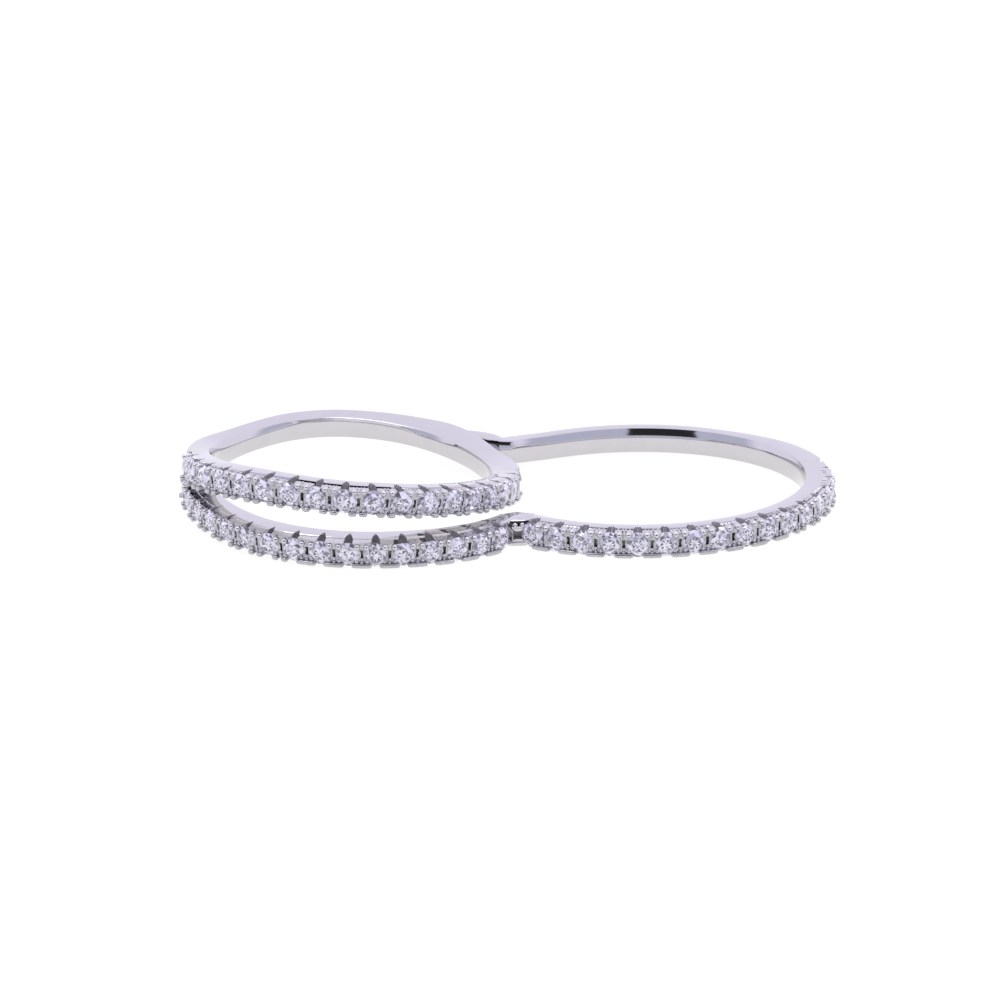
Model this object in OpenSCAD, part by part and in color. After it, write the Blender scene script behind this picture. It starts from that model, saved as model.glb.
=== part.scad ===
// Two-finger ring with three paved rows, lying on its side.
// Finger holes run along Z. X runs along the joined width, -Y is the front that carries the stones.

/* [Finger ovals] */
// Half length of each oval of the outline, along the joined width
oval_a = 10.1; // [9.8:0.05:10.6]
// Half depth of each oval, front to back
oval_b = 8.78; // [8.5:0.02:9.2]
// Distance from the middle of the ring to the centre of each oval
oval_c = 8.1; // [7.9:0.05:8.4]
// Softness of the waist where the two ovals meet
waist_soft = 2.44; // [1.6:0.1:3]
// Half length of the raised left ring's own finger oval
ring_a = 8.58; // [8.4:0.02:8.8]
// Distance from the middle to the centre of the raised left ring
ring_c = 9.58; // [9.4:0.02:9.8]

// How far the lower left front stands out beyond the raised ring's front
front_out = 0.82; // [0.4:0.02:1]

/* [Metal] */
// Height of the bands along the finger
band_h = 1.56; // [1.4:0.02:1.7]
// Radial thickness of the metal behind the stones
set_t = 1.1; // [1:0.05:1.2]
// Radial thickness of the plain back of the right loop
plain_t = 0.8; // [0.7:0.05:1]
// Radial thickness of the wall shared by both finger holes
shared_t = 1.55; // [1.4:0.05:1.7]
// Chamfer along the edges of the bands
edge_c = 0.12; // [0.06:0.02:0.2]
// Radius of the rounded finger wall
wall_r = 1.5; // [1.4:0.1:6]

/* [Paved rows] */
// Distance from the finger wall to the outside of the stones and prongs
row_out = 1.86; // [1.7:0.02:2]
// Distance between neighbouring stones along a row
pitch = 1.65; // [1.6:0.01:1.7]
// Distance of the first right stone from the middle of the front bridge
first_right = 1.11; // [1:0.01:1.3]
// Distance of the first lower stone from the middle of the front bridge
first_lower = 1.88; // [1.7:0.01:2]
// Distance of the first upper stone from the middle of the shared wall
first_upper = 1.36; // [1.2:0.02:1.5]
// Width of the open slot in the front bridge
bridge_slot_w = 0.5; // [0.4:0.02:0.6]
// Stones in the right row
n_right = 16; // [15:1:17]
// Stones in the lower row
n_lower = 16; // [14:1:16]
// Stones in the upper row
n_upper = 18; // [17:1:19]
// Gap between a paved row and the metal behind it
row_gap = 0.04; // [0.02:0.01:0.08]

/* [Hidden] */
// Moves the finger axis so that the middle of the whole box lies on the Z axis
shift_y = (row_out + front_out - 1.06 * cos(12) - 1.38 * sin(12)) / 2;
waist_angle = acos(-oval_c / oval_a);

// Stations of the outline band. Columns: station angle (0 right end, 90 middle of the back, 180 left end,
// 270 middle of the front), height of the inner top edge, band height, thickness, outward lean of the top face.
OUTLINE = [
  [-256, 2.15, 1.10, 0.70,  -4],
  [-262, 2.13, 1.30, 1.00,  -2],
  [-270, 2.02, 1.46, 1.10,   0],
  [-275, 1.88, 1.48, 1.05,   0],
  [-280, 1.72, 1.50, 0.95,   0],
  [-286, 1.60, 1.52, 0.85,   0],
  [-300, 1.57, 1.55, plain_t, 0],
  [-312, band_h, band_h, plain_t, 0],
  [-330, band_h, band_h, plain_t, 0],
  [-344, band_h, band_h, 0.98, 0],
  [-352, band_h, band_h, set_t, 0],
  [-442, band_h, band_h, set_t, 0],
  [-450, 1.57, 1.57, set_t,   0],
  [-456, 1.62, 1.57, set_t, 1.5],
  [-462, 1.73, 1.59, set_t,   4],
  [-470, 1.86, 1.60, set_t,   7],
  [-480, 1.89, 1.59, set_t, 8.5],
  [-490, 1.90, 1.59, set_t, 8.5],
  [-500, 1.93, 1.61, set_t, 8.5],
  [-510, 2.00, 1.66, set_t,   8],
  [-520, 2.07, 1.66, set_t,   6],
  [-530, 2.15, 1.60, set_t,   4],
  [-540, 2.26, 1.50, set_t,   2],
  [-548, 2.39, 1.42, 0.98,   -1],
  [-555, 2.55, 1.16, 0.70,   -3]
];

// Stations of the raised left ring. Columns as above, with the angle round its own oval
// (0 shared wall, 90 back, 180 left end, 270 front).
RAISED = [
  [  0, 2.25, 1.48, 1.50,   0],
  [ 10, 2.08, 1.32, shared_t, 0],
  [ 20, 2.02, 1.20, shared_t, 0],
  [ 30, 2.06, 1.20, 1.70,  -2],
  [ 40, 2.12, 1.20, 1.95,  -4],
  [ 50, 2.25, 1.22, 1.95,  -6],
  [ 60, 2.42, 1.27, 1.55,  -8],
  [ 75, 2.62, 1.33, 1.20, -11],
  [ 90, 2.79, 1.38, 1.06, -12],
  [110, 2.93, 1.40, 1.06, -12],
  [130, 2.91, 1.42, 1.10, -10],
  [150, 3.06, 1.62, 1.15,  -6],
  [165, 3.44, 1.56, set_t, -3],
  [180, 3.87, 1.62, set_t,  0],
  [190, 4.15, 1.70, set_t,  1],
  [198, 4.37, 1.66, set_t,  1],
  [210, 4.64, 1.64, set_t,  1],
  [225, 4.87, 1.64, set_t,  1],
  [240, 4.97, 1.64, set_t,  1],
  [260, 4.92, 1.64, set_t,  1],
  [275, 4.76, 1.64, set_t,  1],
  [290, 4.42, 1.63, set_t,  1],
  [305, 4.02, 1.61, set_t,  1],
  [320, 3.54, 1.59, set_t, 0.5],
  [335, 3.02, 1.56, set_t,  0],
  [350, 2.52, 1.52, set_t,  0],
  [356.5, 2.35, 1.50, set_t, 0],
  [360, 2.25, 1.48, 1.50,   0]
];

// ---------- smooth interpolation of a station table ----------
function last_row(tab, a) = max([for (i = [0:len(tab) - 2]) if (abs(tab[i][0] - tab[0][0]) <= abs(a - tab[0][0]) + 1e-9) i]);
function slope(tab, i, c, wrap) =
  let (n = len(tab) - 1,
       lo = i > 0 ? i - 1 : wrap ? n - 1 : i,
       hi = i < n ? i + 1 : wrap ? 1 : i,
       xl = i > 0 ? tab[lo][0] : wrap ? tab[lo][0] - 360 : tab[lo][0],
       xh = i < n ? tab[hi][0] : wrap ? tab[hi][0] + 360 : tab[hi][0])
  (tab[hi][c] - tab[lo][c]) / (xh - xl);
function value(tab, a, c, wrap = false) =
  let (i = last_row(tab, a), x0 = tab[i][0], w = tab[i + 1][0] - x0, t = (a - x0) / w,
       m0 = slope(tab, i, c, wrap) * w, m1 = slope(tab, i + 1, c, wrap) * w)
  (2*t*t*t - 3*t*t + 1) * tab[i][c] + (t*t*t - 2*t*t + t) * m0 + (3*t*t - 2*t*t*t) * tab[i + 1][c] + (t*t*t - t*t) * m1;

// ---------- plan curves of the finger wall ----------
function ease(t) = t <= 0 ? 0 : t >= 1 ? 1 : t * t * (3 - 2 * t);
function oval_y(x, c) = let (q = 1 - pow((x - c) / oval_a, 2)) q > 0 ? oval_b * sqrt(q) : 0;
function waist_y(x) =
  let (p = oval_y(x, oval_c), q = oval_y(x, -oval_c), h = max(waist_soft - abs(p - q), 0) / waist_soft)
  max(p, q) + h * h * waist_soft / 4;
// The lower left front stands out a little further than the other quarters. The end that runs into the
// back of the raised ring is kept inside that ring's metal.
function outline(a) =
  let (b = a - 360 * floor(a / 360), quad = floor(b / 90),
       f = quad == 0 ? b : quad == 1 ? 180 - b : quad == 2 ? b - 180 : 360 - b,
       th = f / 90 * waist_angle, x = oval_c + oval_a * cos(th), y = f < 40 ? oval_b * sin(th) : waist_y(x),
       stand = quad == 2 ? front_out * ease((90 - f) / 22) * ease((f - 2) / 30) : 0,
       tuck = quad == 1 && f < 30 ? 0.25 * pow(f / 15, 1.5) : 0)
  [quad == 0 || quad == 3 ? x : -x - tuck, quad < 2 ? y : -y - stand];
// The raised ring's left half is drawn in slightly, so that it stands over the outline band
function raised(a) =
  let (b = a - 360 * floor(a / 360), d = abs(180 - b), pull = d < 90 ? 1 - 0.065 * pow(sin(2 * d), 1.5) : 1)
  [-ring_c + ring_a * cos(b), oval_b * sin(b) * pull];
function plan(curve, a) = curve == 0 ? outline(a) : raised(a);
// Unit vector pointing away from the finger
function outward(curve, a) =
  let (d = plan(curve, a + 0.1) - plan(curve, a - 0.1)) [d[1], -d[0]] / norm(d);

// ---------- a point of a band's cross-section ----------
// u runs outward from the finger wall, w runs up from the inner top edge
function place(curve, tab, wrap, a, u, w) =
  let (p = plan(curve, a), n = outward(curve, a), z = value(tab, a, 1, wrap), l = value(tab, a, 4, wrap),
       r = u * cos(l) + w * sin(l))
  [p[0] + n[0] * r, p[1] + n[1] * r + shift_y, z - u * sin(l) + w * cos(l)];

// Cross-section with chamfered edges between thicknesses u0 and u1 and heights w0 and w1
function section(u0, u1, w0, w1, c) =
  [[u0, w0 + c], [u0 + c, w0], [u1 - c, w0], [u1, w0 + c],
   [u1, w1 - c], [u1 - c, w1], [u0 + c, w1], [u0, w1 - c]];

// Skin over a list of rings that all have the same number of points, listed along the band anticlockwise
module skin(rings, closed = false) {
  m = len(rings);
  k = len(rings[0]);
  side = [for (i = [0:m - (closed ? 1 : 2)]) for (j = [0:k - 1])
            let (i2 = (i + 1) % m, j2 = (j + 1) % k)
            each [[i * k + j, i * k + j2, i2 * k + j2], [i * k + j, i2 * k + j2, i2 * k + j]]];
  caps = closed ? [] : [[for (j = [k - 1:-1:0]) j], [for (j = [0:k - 1]) (m - 1) * k + j]];
  polyhedron([for (r = rings) each r], concat(side, caps), convexity = 10);
}

// Finger wall rounded a little towards the finger, listed downward between its two chamfers
function finger_wall(h) =
  let (m = h / 2, e = m - edge_c, base = sqrt(wall_r * wall_r - e * e))
  [for (i = [1:5]) let (w = e - 2 * e * i / 6) [base - sqrt(wall_r * wall_r - w * w), w - m]];
function band_ring(curve, tab, wrap, a) =
  let (h = value(tab, a, 2, wrap), t = value(tab, a, 3, wrap))
  [for (q = concat(section(0, t, -h, 0, edge_c), finger_wall(h))) place(curve, tab, wrap, a, q[0], q[1])];

// ---------- paved rows ----------
// Length along a band measured at the outside of the metal, as pairs of length and angle
function run_pair(curve, a0, step, n) =
  [for (i = 0, s = 0, p = plan(curve, a0) + set_t * outward(curve, a0); i <= n;
        q = plan(curve, a0 + step * (i + 1)) + set_t * outward(curve, a0 + step * (i + 1)),
        s = s + norm(q - p), p = q, i = i + 1) [s, a0 + step * i]];
function scallop(s, first, gap) = row_out - 0.2 * pow(sin(180 * (s - first) / gap), 4);

module paved(curve, tab, wrap, run, first, gap, count, back = false) {
  n = 4 * (count - 1);
  order = [-1.5, each [for (j = [0:n]) j], n + 1.5];
  rings = [for (step = [0:n + 2])
    let (i = order[back ? n + 2 - step : step], s = first + i * gap / 4, a = lookup(s, run), h = value(tab, a, 2, wrap),
         o = i < 0 || i > n ? row_out - 0.3 : scallop(s, first, gap))
    [for (q = section(set_t + row_gap, o, -h + 0.02, -0.12, 0.16)) place(curve, tab, wrap, a, q[0], q[1])]];
  skin(rings);
}

// Whole metal body: outline band with the raised left ring grown into it
module ring_band() {
  color("gainsboro")
  union() {
    skin([for (i = [0:98]) let (a = -555 + 3.0 * i + 5 * i / 98) band_ring(0, OUTLINE, false, a)]);
    skin([for (i = [0:71]) band_ring(1, RAISED, true, 5 * i)], closed = true);
  }
}
// Open slot of the front bridge, kept free between the right row and the lower row
module bridge_slot() {
  translate([-bridge_slot_w / 2, -oval_b, -1]) cube([bridge_slot_w, oval_b - 4, 4]);
}
module stones_right() {
  color("lavender") difference() {
    paved(0, OUTLINE, false, run_pair(0, -450, 1, 112), first_right, 1.004 * pitch, n_right);
    bridge_slot();
  }
}
module stones_lower() {
  color("lavender") difference() {
    paved(0, OUTLINE, false, run_pair(0, -450, -1, 108), first_lower, pitch, n_lower, true);
    bridge_slot();
  }
}
module stones_upper() {
  color("lavender") paved(1, RAISED, true, run_pair(1, 360, -1, 200), first_upper, 1.02 * pitch, n_upper, true);
}

ring_band();
stones_right();
stones_lower();
stones_upper();
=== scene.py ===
import math
import random

import bmesh
import bpy
import numpy as np
from mathutils import Matrix, Vector


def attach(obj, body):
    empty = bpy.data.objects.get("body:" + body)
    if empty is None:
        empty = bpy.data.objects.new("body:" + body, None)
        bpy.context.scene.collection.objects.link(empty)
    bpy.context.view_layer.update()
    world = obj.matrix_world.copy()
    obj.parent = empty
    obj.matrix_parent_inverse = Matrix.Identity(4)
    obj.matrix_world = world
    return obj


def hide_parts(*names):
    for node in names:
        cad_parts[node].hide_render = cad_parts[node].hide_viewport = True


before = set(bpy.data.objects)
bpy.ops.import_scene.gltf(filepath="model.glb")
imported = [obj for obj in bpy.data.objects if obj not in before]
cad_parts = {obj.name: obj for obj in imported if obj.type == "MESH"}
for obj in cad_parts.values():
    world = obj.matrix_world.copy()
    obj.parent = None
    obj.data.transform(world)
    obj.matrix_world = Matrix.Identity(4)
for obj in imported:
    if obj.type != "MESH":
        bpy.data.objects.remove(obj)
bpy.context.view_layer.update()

MM = 0.001
rng = random.Random(20)

# ---------------------------------------------------------------------------
# The same named sizes as the CAD part, in millimetres
# ---------------------------------------------------------------------------
OVAL_A, OVAL_B, OVAL_C = 10.1, 8.78, 8.1
WAIST_SOFT = 2.44
RING_A, RING_C = 8.58, 9.58
FRONT_OUT = 0.82
BAND_H, SET_T, PLAIN_T, SHARED_T = 1.56, 1.1, 0.8, 1.55
ROW_OUT, PITCH = 1.86, 1.65
N_RIGHT, N_LOWER, N_UPPER = 16, 16, 18
FIRST_RIGHT, FIRST_LOWER, FIRST_UPPER = 1.11, 1.88, 1.36
SHIFT_Y = (ROW_OUT + FRONT_OUT - 1.06 * math.cos(math.radians(12)) - 1.38 * math.sin(math.radians(12))) / 2
WAIST_ANGLE = math.degrees(math.acos(-OVAL_C / OVAL_A))

# Columns: station angle, height of the inner top edge, band height, thickness, outward lean
OUTLINE = np.array([
    [-256, 2.15, 1.10, 0.70, -4], [-262, 2.13, 1.30, 1.00, -2], [-270, 2.02, 1.46, 1.10, 0],
    [-275, 1.88, 1.48, 1.05, 0], [-280, 1.72, 1.50, 0.95, 0], [-286, 1.60, 1.52, 0.85, 0],
    [-300, 1.57, 1.55, PLAIN_T, 0], [-312, BAND_H, BAND_H, PLAIN_T, 0], [-330, BAND_H, BAND_H, PLAIN_T, 0],
    [-344, BAND_H, BAND_H, 0.98, 0], [-352, BAND_H, BAND_H, SET_T, 0], [-442, BAND_H, BAND_H, SET_T, 0],
    [-450, 1.57, 1.57, SET_T, 0], [-456, 1.62, 1.57, SET_T, 1.5], [-462, 1.73, 1.59, SET_T, 4],
    [-470, 1.86, 1.60, SET_T, 7], [-480, 1.89, 1.59, SET_T, 8.5], [-490, 1.90, 1.59, SET_T, 8.5],
    [-500, 1.93, 1.61, SET_T, 8.5], [-510, 2.00, 1.66, SET_T, 8], [-520, 2.07, 1.66, SET_T, 6],
    [-530, 2.15, 1.60, SET_T, 4], [-540, 2.26, 1.50, SET_T, 2], [-548, 2.39, 1.42, 0.98, -1],
    [-555, 2.55, 1.16, 0.70, -3]], float)
RAISED = np.array([
    [0, 2.25, 1.48, 1.50, 0], [10, 2.08, 1.32, SHARED_T, 0], [20, 2.02, 1.20, SHARED_T, 0],
    [30, 2.06, 1.20, 1.70, -2], [40, 2.12, 1.20, 1.95, -4], [50, 2.25, 1.22, 1.95, -6],
    [60, 2.42, 1.27, 1.55, -8], [75, 2.62, 1.33, 1.20, -11], [90, 2.79, 1.38, 1.06, -12],
    [110, 2.93, 1.40, 1.06, -12], [130, 2.91, 1.42, 1.10, -10], [150, 3.06, 1.62, 1.15, -6],
    [165, 3.44, 1.56, SET_T, -3], [180, 3.87, 1.62, SET_T, 0], [190, 4.15, 1.70, SET_T, 1],
    [198, 4.37, 1.66, SET_T, 1], [210, 4.64, 1.64, SET_T, 1], [225, 4.87, 1.64, SET_T, 1],
    [240, 4.97, 1.64, SET_T, 1], [260, 4.92, 1.64, SET_T, 1], [275, 4.76, 1.64, SET_T, 1],
    [290, 4.42, 1.63, SET_T, 1], [305, 4.02, 1.61, SET_T, 1], [320, 3.54, 1.59, SET_T, 0.5],
    [335, 3.02, 1.56, SET_T, 0], [350, 2.52, 1.52, SET_T, 0], [356.5, 2.35, 1.50, SET_T, 0],
    [360, 2.25, 1.48, 1.50, 0]], float)


def hermite(tab, a, c, wrap):
    """Smooth value of column c of a station table at angle a, as in the CAD part."""
    x, y, n = tab[:, 0], tab[:, c], len(tab) - 1
    m = np.empty(n + 1)
    for i in range(n + 1):
        lo = i - 1 if i > 0 else (n - 1 if wrap else i)
        hi = i + 1 if i < n else (1 if wrap else i)
        xl = x[lo] - 360 if (i == 0 and wrap) else x[lo]
        xh = x[hi] + 360 if (i == n and wrap) else x[hi]
        m[i] = (y[hi] - y[lo]) / (xh - xl)
    sgn = 1 if x[-1] > x[0] else -1
    i = np.clip(np.searchsorted(x * sgn, np.asarray(a) * sgn, side="right") - 1, 0, n - 1)
    w = x[i + 1] - x[i]
    t = (a - x[i]) / w
    return ((2 * t**3 - 3 * t * t + 1) * y[i] + (t**3 - 2 * t * t + t) * m[i] * w
            + (3 * t * t - 2 * t**3) * y[i + 1] + (t**3 - t * t) * m[i + 1] * w)


def ease(t):
    t = np.clip(t, 0, 1)
    return t * t * (3 - 2 * t)


def oval_y(x, c):
    return OVAL_B * np.sqrt(np.maximum(1 - ((x - c) / OVAL_A) ** 2, 0))


def waist_y(x):
    p, q = oval_y(x, OVAL_C), oval_y(x, -OVAL_C)
    h = np.maximum(WAIST_SOFT - np.abs(p - q), 0) / WAIST_SOFT
    return np.maximum(p, q) + h * h * WAIST_SOFT / 4


def outline(a):
    b = np.mod(a, 360.0)
    quad = np.floor(b / 90).astype(int)
    f = np.choose(np.clip(quad, 0, 3), [b, 180 - b, b - 180, 360 - b])
    th = np.radians(f / 90 * WAIST_ANGLE)
    x = OVAL_C + OVAL_A * np.cos(th)
    y = np.where(f < 40, OVAL_B * np.sin(th), waist_y(x))
    stand = np.where(quad == 2, FRONT_OUT * ease((90 - f) / 22) * ease((f - 2) / 30), 0)
    tuck = np.where((quad == 1) & (f < 30), 0.25 * (np.maximum(f, 0) / 15) ** 1.5, 0)
    return np.stack([np.where((quad == 0) | (quad == 3), x, -x - tuck), np.where(quad < 2, y, -y - stand)], -1)


def raised(a):
    b = np.mod(a, 360.0)
    d = np.abs(180 - b)
    pull = np.where(d < 90, 1 - 0.065 * np.maximum(np.sin(np.radians(2 * d)), 0) ** 1.5, 1)
    return np.stack([-RING_C + RING_A * np.cos(np.radians(b)), OVAL_B * np.sin(np.radians(b)) * pull], -1)


class Band:
    """A band of the ring: its plan curve and station table. u runs outward from the finger wall, w up from the inner top edge."""

    def __init__(self, plan, tab, wrap):
        self.plan, self.tab, self.wrap = plan, tab, wrap

    def col(self, a, c):
        return hermite(self.tab, a, c, self.wrap)

    def outward(self, a):
        d = self.plan(a + 0.1) - self.plan(a - 0.1)
        n = np.stack([d[..., 1], -d[..., 0]], -1)
        return n / np.linalg.norm(n, axis=-1, keepdims=True)

    def place(self, a, u, w):
        a, u, w = np.broadcast_arrays(np.asarray(a, float), u, w)
        p, n = self.plan(a), self.outward(a)
        z, l = self.col(a, 1), np.radians(self.col(a, 4))
        r = u * np.cos(l) + w * np.sin(l)
        return np.stack([p[..., 0] + n[..., 0] * r, p[..., 1] + n[..., 1] * r + SHIFT_Y,
                         z - u * np.sin(l) + w * np.cos(l)], -1)

    def axes(self, a, u=1.2, w=-0.8):
        """Local frame at a station: along the band (towards growing angle), outward, up."""
        t = self.place(a + 0.4, u, w) - self.place(a - 0.4, u, w)
        t /= np.linalg.norm(t)
        o = self.place(a, u + 0.5, w) - self.place(a, u - 0.5, w)
        o -= t * (o @ t)
        o /= np.linalg.norm(o)
        return t, o, np.cross(t, o) if np.cross(t, o)[2] > 0 else -np.cross(t, o)

    def runs(self, a0, step, n, u=SET_T):
        a = a0 + step * np.arange(n + 1)
        p = self.plan(a) + u * self.outward(a)
        s = np.concatenate([[0], np.cumsum(np.linalg.norm(np.diff(p, axis=0), axis=1))])
        return s, a


outer = Band(outline, OUTLINE, False)
upper = Band(raised, RAISED, True)

# ---------------------------------------------------------------------------
# Where each stone sits: (band, angle of every stone, angle of every gap)
# ---------------------------------------------------------------------------


class Row:
    """A paved row. rim: width of the plain top; apex, mouth, cut, bullet: the U-cuts over the stones."""

    def __init__(self, name, band, a0, step, n, first, gap, count, **form):
        self.name, self.band, self.first, self.gap, self.count = name, band, first, gap, count
        self.s, self.a = band.runs(a0, step * 0.25, n * 4)
        self.sense = 1 if step > 0 else -1
        self.centres = [first + k * gap for k in range(count)]
        self.__dict__.update(form)

    def angle(self, s):
        return np.interp(s, self.s, self.a)

    def dark(self, s):
        """1 where the upper row has a deeper groove between its rim and its beads, its faces painted near-black shade.
        """
        lo, hi = self.centres[7] + 0.4, self.centres[min(11, self.count - 1)] - 0.2
        return float(self.name == "upper" and lo < s < hi)

    def tail(self, s):
        """0 along the front, 1 at the row's far end, where the cuts draw back from the finger wall, more over the right row's last stones."""
        last = self.centres[-1]
        start, length = {"right": (0.53, 0.32), "lower": (0.42, 0.30), "upper": (0.675, 0.21)}[self.name]
        over = 0.8 * float(ease((s - last + 3.4 * self.gap) / (3.0 * self.gap))) if self.name == "right" else 0.0
        return float(ease((s - start * last) / (length * last))) + over

    def fade(self, s):
        """1 at the shared wall, where the upper row starts under a wide rounded rim, 0 further on."""
        return max(min((7.6 - s) / 6.4, 1.0), 0.0) ** 1.3 if self.name == "upper" else 0.0


ROWS = {
    "right": Row("right", outer, -450.0, 1, 116, FIRST_RIGHT, 1.004 * PITCH, N_RIGHT, rim=0.80, apex=0.40,
                 mouth=0.76, cut=0.265, bullet=2.6, bead=(0.205, 0.185, -0.145, 1.80), foot=(0.0, 0.57), seat=-0.785),
    "lower": Row("lower", outer, -450.0, -1, 110, FIRST_LOWER, PITCH, N_LOWER, rim=0.84, apex=0.34,
                 mouth=0.95, cut=0.25, bullet=1.8, bead=(0.20, 0.195, -0.26, 1.79), foot=(0.0, 0.61), seat=-0.83),
    "upper": Row("upper", upper, 360.0, -1, 204, FIRST_UPPER, 1.02 * PITCH, N_UPPER, rim=0.74, apex=0.17,
                 mouth=0.72, cut=0.25, bullet=1.9, bead=(0.19, 0.17, -0.13, 1.74), foot=(0.33, 0.25), seat=-0.79),
}

NOTCH_D = 0.60      # depth of the U-cuts
STONE_R = 0.785
GIRDLE_U = 1.47

# ---------------------------------------------------------------------------
# Mesh helpers
# ---------------------------------------------------------------------------


def new_object(name, verts, faces, mats, mat_index=None, smooth=True, sharp=32):
    me = bpy.data.meshes.new(name)
    me.from_pydata([tuple(v) for v in np.asarray(verts, float) * MM], [], [tuple(f) for f in faces])
    for m in mats:
        me.materials.append(m)
    if mat_index is not None:
        me.polygons.foreach_set("material_index", np.asarray(mat_index, np.int32))
    me.polygons.foreach_set("use_smooth", np.full(len(me.polygons), bool(smooth)))
    me.validate()
    me.update()
    if smooth:
        me.set_sharp_from_angle(angle=math.radians(sharp))
    ob = bpy.data.objects.new(name, me)
    bpy.context.scene.collection.objects.link(ob)
    return ob


class Soup:
    """Collects many small shells into one mesh."""

    def __init__(self):
        self.v, self.f, self.m, self.n = [], [], [], 0

    def add(self, verts, faces, mat=0):
        verts = np.asarray(verts, float)
        self.v.append(verts)
        self.f += [tuple(i + self.n for i in f) for f in faces]
        self.m += list(mat) if isinstance(mat, (list, tuple)) else [mat] * len(faces)
        self.n += len(verts)

    def build(self, name, mats, **kw):
        return new_object(name, np.concatenate(self.v), self.f, mats, self.m, **kw)


# ---------------------------------------------------------------------------
# Cross-sections of the bands. All have the same number of points, listed from
# the inner bottom, outward along the bottom, up the outside and back along the top.
# ---------------------------------------------------------------------------
WALL_N = 14


def arc(cx, cy, r, a0, a1, n):
    t = np.radians(np.linspace(a0, a1, n))
    return [(cx + r * math.cos(x), cy + r * math.sin(x)) for x in t]


def comfort_wall(h, top=0.05, bulge_r=1.5):
    """The finger wall, rounded a little towards the finger, from its top edge down to its bottom edge."""
    m = h / 2
    r = max(bulge_r, m * 1.15)
    base = math.sqrt(r * r - (m - top) ** 2)
    out = []
    for k in range(WALL_N + 1):
        w = -top - (h - 2 * top) * k / WALL_N
        out.append((-(math.sqrt(r * r - (w + m) ** 2) - base), w))
    return out


def section(h, t, kind, un=0.0, row=None, fade=0.0, dark=0.0, tail=0.0, crotch=0.0, roll=0.0):
    """A cross-section. dark: depth of the groove behind the beads, fade: the wide rounded rim, tail: the wide flat rim at a row's
    far end, crotch: the seam where the loops part, roll: a rounded inner top edge."""
    c = 0.045
    bottom = [(0.012, -h + 0.012), (c, -h)]
    b = 1.12
    if kind == "plain":
        r = 0.11
        outer_pts = (arc(t - r, -h + r, r, -90, 0, 6) + [(t, -h + r + (h - 2 * r) * k / 5) for k in (1, 2, 3, 4)]
                     + arc(t - r, -r, r, 0, 90, 6))
    elif kind == "notch":
        d = min(NOTCH_D, h / 2 - 0.12)
        low = [(un - 0.015, -h), (un, -h + 0.015), (un, -h + d * 0.3), (un, -h + d * 0.6), (un + 0.01, -h + d - 0.06),
               (un + 0.05, -h + d), (1.09, -h + d + 0.02), (b, -h + d + 0.05)]
        outer_pts = low + [(u, -h - w) for u, w in low[::-1]]
    else:
        m = 0.80
        low = [(m - 0.02, -h), (m, -h + 0.015), (m + 0.02, -h + 0.07), (1.38, -h + 0.08),
               (1.41, -h + 0.11), (1.41, -h + 0.30), (1.39, -h + 0.33), (b, -h + 0.35)]
        m = row.rim + (0.28 if row.name == "lower" else 0.36) * tail
        wave = lambda k: rng.uniform(-k, k)
        if row.name == "upper":
            deep = 0.07 + 0.16 * dark
            high = [(m - 0.02, 0), (m, -0.015), (m + 0.02, -deep), (m + 0.16, -deep), (m + 0.21, -0.06), (1.36, -0.055),
                    (1.38, -0.30), (b, -0.35)]
            wide = [(1.30, 0), (1.47, -0.03), (1.61, -0.09), (1.72, -0.18), (1.79, -0.30), (1.82, -0.45), (1.77, -0.52), (b, -0.55)]
            high = [(x0 + (x1 - x0) * fade, y0 + (y1 - y0) * fade) for (x0, y0), (x1, y1) in zip(high, wide)]
        elif row.name == "lower":
            high = [(m - 0.02, 0), (m - 0.005, -0.012), (m + 0.012, -0.075), (m + 0.04, -0.09 + wave(0.012)), (1.39, -0.085 + wave(0.015)),
                    (1.41, -0.13), (1.41, -0.30), (b, -0.35)]
        else:
            e = max(1.38, m + 0.04)
            high = [(m - 0.02, 0), (m - 0.006, -0.004), (m + 0.002, -0.030), (m + 0.010, -0.062),
                    (min(m + 0.20, e - 0.01), -0.075 + wave(0.015)), (e, -0.085), (e + 0.03, -0.14), (b, -0.35)]
        outer_pts = low + high[::-1]
    top = [(c, 0.0), (0.012, -0.012)]
    wall = comfort_wall(h)
    if roll > 0:
        back = lambda w: 0.17 * roll * max((w + 0.45) / 0.45, 0) ** 2
        wall = [(u + back(w), w) for u, w in wall]
        top = [(u + back(0), w) for u, w in top]
    if crotch > 0:
        wall[1] = (0.14 * crotch, wall[0][1] - 0.045)
    return np.array(bottom + outer_pts + top + wall)


K_OUT0, K_OUT1 = 2, 18      # the outer points' places in a section
K_WALL = 20


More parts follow.
